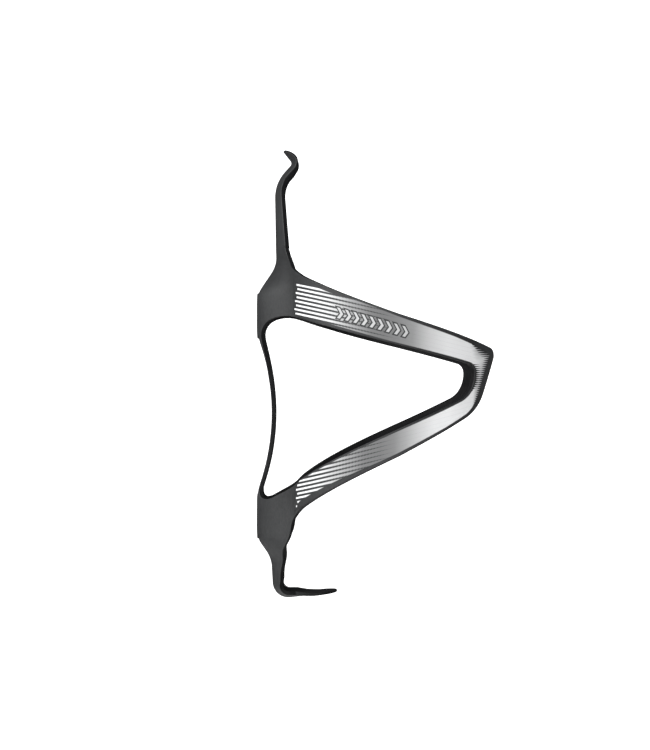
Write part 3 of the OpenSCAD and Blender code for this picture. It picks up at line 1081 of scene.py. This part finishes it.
def round_ended(width, length, steps=20):
    turn = np.linspace([0, math.pi], [math.pi, 2 * math.pi], steps + 1).T.ravel()
    straight = (length - width) / 2 * np.repeat([1, -1], steps + 1)
    return np.stack([width / 2 * np.cos(turn), width / 2 * np.sin(turn) + straight], -1)


def bevelled(width, length, side):
    """Loops round one corner of the section, each (width, length, depth); side 1 widens, -1 narrows."""
    back = [side * 2 * PAD_ROUND * (1 - math.sin(t)) for t in quarter]
    return [(width + b, length + b, PAD_ROUND * (1 - math.cos(t))) for b, t in zip(back, quarter)]


def bolt_pad(name, z_mid):
    deep = PAD_PROUD + WALL + 0.03
    rim, slot = bevelled(PAD_W, PAD_H, -1), bevelled(slot_w, slot_l, 1)
    loops = rim + [(w, l, deep - x) for w, l, x in rim[::-1] + slot] + slot[::-1]
    rings = [[(x, y, z_mid + z) for y, z in round_ended(w, l)] for w, l, x in loops]
    points, count = sum(rings, []), len(rings[0])
    faces = []
    for k in range(len(loops)):
        for i in range(count):
            j, l = (i + 1) % count, (k + 1) % len(loops)
            faces.append((k * count + i, k * count + j, l * count + j, l * count + i))
    faces = facing_out(points, faces)
    pad = make_mesh(name, points, faces, (skin,))
    pad.data.set_sharp_from_angle(angle=math.radians(40))
    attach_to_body(pad, "spine")
    print(name, "slot", slot_w, "x", slot_l, "mm, thick", round(deep, 2))


bolt_pad("upper_pad", bolt_z)
bolt_pad("lower_pad", -bolt_z)

# %% [markdown]
# ## Top tab
#
# The top tab snaps into the bottle's groove and bends back to let it in. A hinge would tear the
# skin open at the neck, so the tab's sheet starts exactly where the spine's stops.

# %% Top tab
TAB_BENDS_OVER, TAB_TIP_WALL = 12, 0.6
tab_wall = WALL * mix(TAB_TIP_WALL, 1, np.clip((1 - tab_share) * tab_len / 5, 0, 1))
tab_skin = sheet(
    "top_tab_skin",
    stacked(tab_rows, 0),
    stacked(tab_full, 0),
    stacked(tab_rows, 1),
    across_all(tab_wall),
    (skin, edge),
)
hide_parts("top_tab")
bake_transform(tab_skin)

# %% [markdown]
# ## Wings and their print
#
# The two wings grip the bottle and are mirror images. The print is a film of its own, a few
# hundredths of a millimetre over the wing, on rows and columns in the same places as the wing's, so
# that the two curved faces can't cut each other. Laying the ink on the wing's own material would be
# simpler, but the print is a piece that can be left off. It starts a little on the spine's side of
# the wing root, where the stripes start.

# %% The film's grid
FILM_LIFT, FILM_THICK, FILM_LEAD = 0.05, 0.06, 6.5


def film_grid():
    v = mix(0.03, 0.97, wing_v)
    s, z = flat_grid(wing_t, v, outer_full, window_full)
    q = np.array([1, 0.75, 0.5, 0.25])[:, None]
    lead = FILM_LEAD * MM_PER_DEGREE * q
    # where the film ends on the spine, along the upper and the lower root
    high = np.linspace(ROOT_TOP, ROOT_UNDER + 1.1, len(v))
    low = np.linspace(LOW_UNDER - 1.0, LOW_OVER - 3.1, len(v))
    s = np.concatenate([s[:1] - lead, s, s[-1:] - lead[::-1]])
    return s, np.concatenate([mix(z[:1], high, q), z, mix(z[-1:], low, q[::-1])])


print("the film starts", FILM_LEAD, "degrees before the wing root")

# %% [markdown]
# ## Both hands
#
# A Mirror modifier would make the second wing, but the two wings move on different joints, so each
# needs meshes of its own, made from the same numbers with y turned round.

# %% Wings and films
for hand, body in ((1, "left_wing"), (-1, "right_wing")):
    label = body.split("_")[0]
    s, z = flat_grid(wing_t, wing_v, outer_in, window_in)
    sf, zf = flat_grid(wing_t, wing_v, outer_full, window_full)
    wing = sheet(
        label + "_wing_skin",
        mirrored(on_hoop(s, z, grip_r + wing_wall(s)), hand),
        mirrored(on_hoop(sf, zf, grip_r + wing_wall(sf)), hand),
        mirrored(inwards(s), hand),
        wing_wall(s),
        (skin, edge),
    )
    s, z = film_grid()
    place = on_hoop(s, z, grip_r + wing_wall(s) + FILM_LIFT + FILM_THICK)
    ink_mm, stripe_count = ink_numbers(s, z, place[..., 0])
    film = sheet(
        label + "_film",
        mirrored(place, hand),
        mirrored(place, hand),
        mirrored(inwards(s), hand),
        np.full(s.shape, FILM_THICK),
        (silver, silver),
        extra={"ink_mm": ink_mm, "stripe_count": stripe_count},
    )
    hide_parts(body)
    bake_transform(wing)
    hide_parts(label + "_graphic")
    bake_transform(film)

# %% [markdown]
# ## Camera
#
# The cage is looked at square from its right side through a long lens, so both wings nearly cover
# each other. Turning the camera to move the cage in the frame would tilt the view, so a small shift
# of the lens does that instead.

# %% Camera
CAMERA_AT, CAMERA_LENS, SHIFT = (0.0294, -0.870, 0.0134), 130.27, (-0.032, -0.0013)
lens = bpy.data.cameras.new("camera")
lens.lens, lens.sensor_width, lens.sensor_fit = CAMERA_LENS, 36, "AUTO"
lens.shift_x, lens.shift_y = SHIFT
lens.clip_start, lens.clip_end = 0.01, 20
camera = into_scene(bpy.data.objects.new("camera", lens))
camera.location = CAMERA_AT
camera.rotation_euler = (math.pi / 2, 0, 0)
bpy.context.scene.camera = camera
print("lens", CAMERA_LENS, "mm from", round(-CAMERA_AT[1], 3), "m")

# %% [markdown]
# ## Floor and backdrop
#
# A product like this is shown on white: a pale floor below it and a white panel well behind it. A
# white world would do for the background, but would light every edge as well. The panel glows by
# itself and is seen by the camera alone.

# %% Stage
def plain_finish(name, grey, rough, glow=0.0):
    finish, tree, shader = new_finish(name)
    shader.inputs["Base Color"].default_value = (grey, grey, grey, 1)
    shader.inputs["Roughness"].default_value = rough
    if glow:
        shader.inputs["Emission Color"].default_value = (1, 1, 1, 1)
        shader.inputs["Emission Strength"].default_value = glow
    return finish


def stage_panel(name, corners, finish, glowing=False):
    mesh = bpy.data.meshes.new(name)
    mesh.from_pydata(corners, [], [tuple(range(len(corners)))])
    mesh.materials.append(finish)
    panel = into_scene(bpy.data.objects.new(name, mesh))
    panel.visible_glossy = panel.visible_diffuse = not glowing
    return panel


FLOOR_X, FLOOR_Z, FLOOR_R = 0.03, -0.24, 0.5
BACK_Y, BACK_CORNERS = 1.15, ((-0.9, -0.9), (1.0, -0.9), (1.0, 0.9), (-0.9, 0.9))
turns = [2 * math.pi * k / 96 for k in range(96)]
ring = [(FLOOR_X + FLOOR_R * math.cos(t), FLOOR_R * math.sin(t), FLOOR_Z) for t in turns]
stage_panel("floor", ring, plain_finish("pale_floor", 0.86, 0.8))
behind = [(x, BACK_Y, z) for x, z in BACK_CORNERS]
stage_panel("backdrop", behind, plain_finish("white_panel", 0.9, 0.9, glow=1.0), glowing=True)
print("floor", FLOOR_Z, "m below the cage's middle, backdrop", BACK_Y, "m behind it")

# %% [markdown]
# ## Light
#
# Dark satin shows only what it reflects, so large soft lights shape it; small ones would leave hot
# spots. One from the left rakes over the spine and gives the charcoal its gradient, one above the
# camera lights the print, and the edges that face right stay near black, with a faint rim light.

# %% Lights
LIT_POINT = (0.03, 0, 0.02)


def soft_light(name, place, size, watts):
    lamp = bpy.data.lights.new(name, "AREA")
    lamp.shape, lamp.size, lamp.size_y, lamp.energy = "RECTANGLE", size[0], size[1], watts
    obj = into_scene(bpy.data.objects.new(name, lamp))
    obj.location = place
    obj.rotation_euler = (Vector(LIT_POINT) - Vector(place)).to_track_quat("-Z", "Y").to_euler()
    print(name, "light", watts, "W from", place)


soft_light("key", (-1.0, -0.6, 0.55), (0.8, 0.9), 21)
soft_light("front", (-0.1, -1.35, 0.75), (0.8, 0.6), 20)
soft_light("rim", (0.95, 0.35, 0.5), (0.5, 0.6), 2)
world = bpy.data.worlds.new("studio")
world.use_nodes = True
sky = world.node_tree.nodes["Background"].inputs
sky["Color"].default_value, sky["Strength"].default_value = (0.75, 0.76, 0.78, 1), 0.1
bpy.context.scene.world = world
bpy.context.scene.view_settings.view_transform = "Standard"
